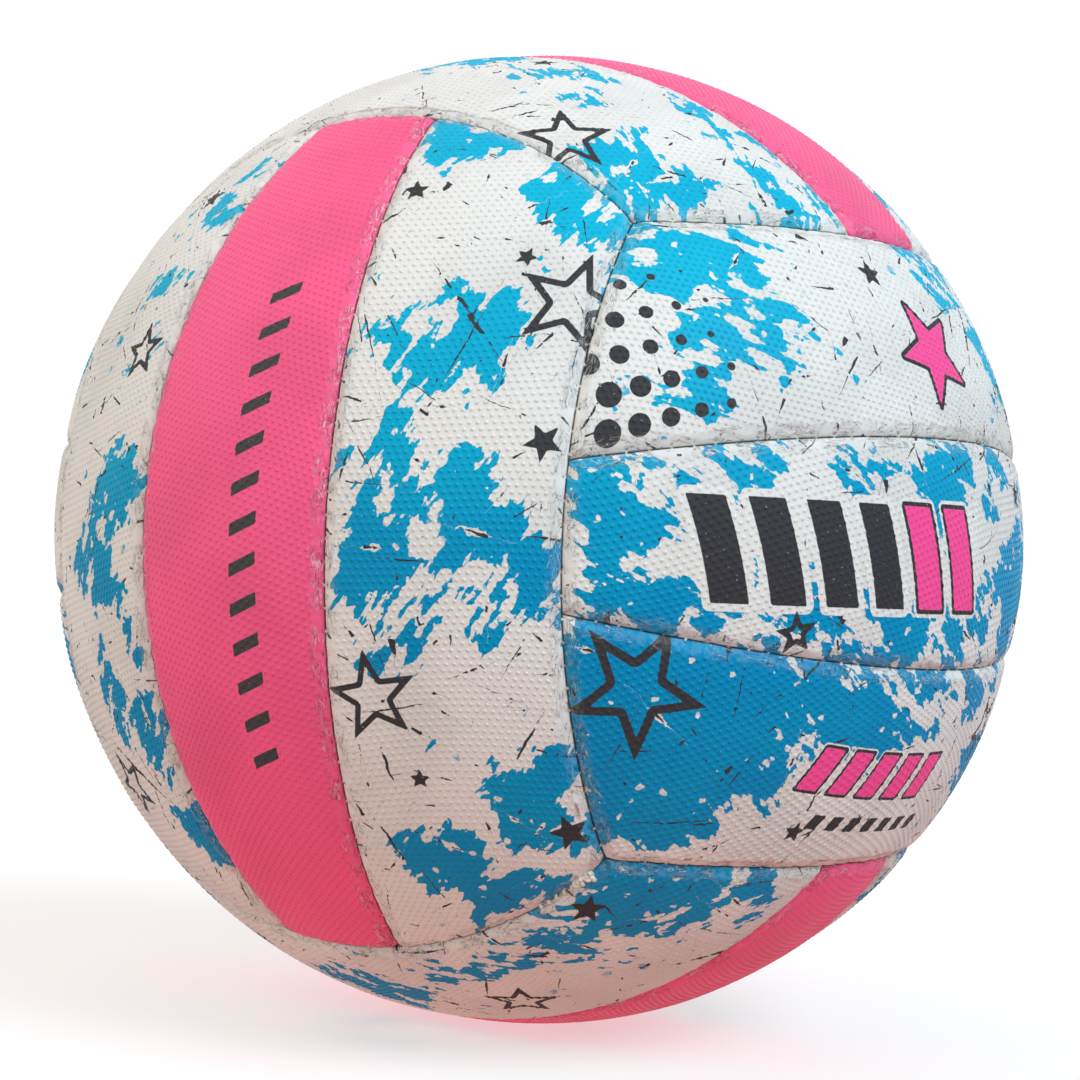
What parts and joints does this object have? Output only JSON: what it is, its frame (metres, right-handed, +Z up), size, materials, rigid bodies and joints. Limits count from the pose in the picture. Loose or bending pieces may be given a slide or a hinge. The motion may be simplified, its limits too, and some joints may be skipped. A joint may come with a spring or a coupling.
{
  "type": "netball",
  "caption": "Inflated netball of stitched pimpled panels on cloth linings, with thread, bladder and needle valve.",
  "frame": {"origin": "centre of the ball", "axes": "+Z up through the middle of the top face, -Y out of the front face, +Y out of the back face through the valve, -X out of the left face"},
  "size_m": [0.2228, 0.2227, 0.2228],
  "materials": {
    "white_cover": "pimpled synthetic cover, semi-matt, white with blue, dark and pink print",
    "pink_cover": "pimpled synthetic cover, semi-matt, pink",
    "print_cover": "pimpled synthetic cover, semi-matt, blue and white print",
    "lining_cloth": "laminated woven polyester cotton",
    "thread": "waxed polyester thread",
    "bladder_rubber": "butyl, dull",
    "valve_rubber": "moulded butyl, dull",
    "valve_core_rubber": "moulded butyl, slightly greasy"
  },
  "bodies": {
    "root": {"cover_top_left": "white_cover", "cover_top_middle": "pink_cover", "cover_top_right": "white_cover", "cover_bottom_right": "white_cover", "cover_bottom_middle": "pink_cover", "cover_bottom_left": "white_cover", "cover_right_front": "white_cover", "cover_right_middle": "pink_cover", "cover_right_back": "white_cover", "cover_left_back": "white_cover", "cover_left_middle": "pink_cover", "cover_left_front": "white_cover", "cover_back_lower": "white_cover", "cover_back_middle": "print_cover", "cover_back_upper": "white_cover", "cover_front_upper": "white_cover", "cover_front_middle": "print_cover", "cover_front_lower": "white_cover", "lining_top_left": "lining_cloth", "lining_top_middle": "lining_cloth", "lining_top_right": "lining_cloth", "lining_bottom_right": "lining_cloth", "lining_bottom_middle": "lining_cloth", "lining_bottom_left": "lining_cloth", "lining_right_front": "lining_cloth", "lining_right_middle": "lining_cloth", "lining_right_back": "lining_cloth", "lining_left_back": "lining_cloth", "lining_left_middle": "lining_cloth", "lining_left_front": "lining_cloth", "lining_back_lower": "lining_cloth", "lining_back_middle": "lining_cloth", "lining_back_upper": "lining_cloth", "lining_front_upper": "lining_cloth", "lining_front_middle": "lining_cloth", "lining_front_lower": "lining_cloth", "thread_top": "thread", "thread_bottom": "thread", "thread_right": "thread", "thread_left": "thread", "thread_back": "thread", "thread_front": "thread", "closing_knots": "thread", "bladder": "bladder_rubber", "valve_housing": "valve_rubber", "valve_core": "valve_core_rubber"}
  },
  "joints": []
}
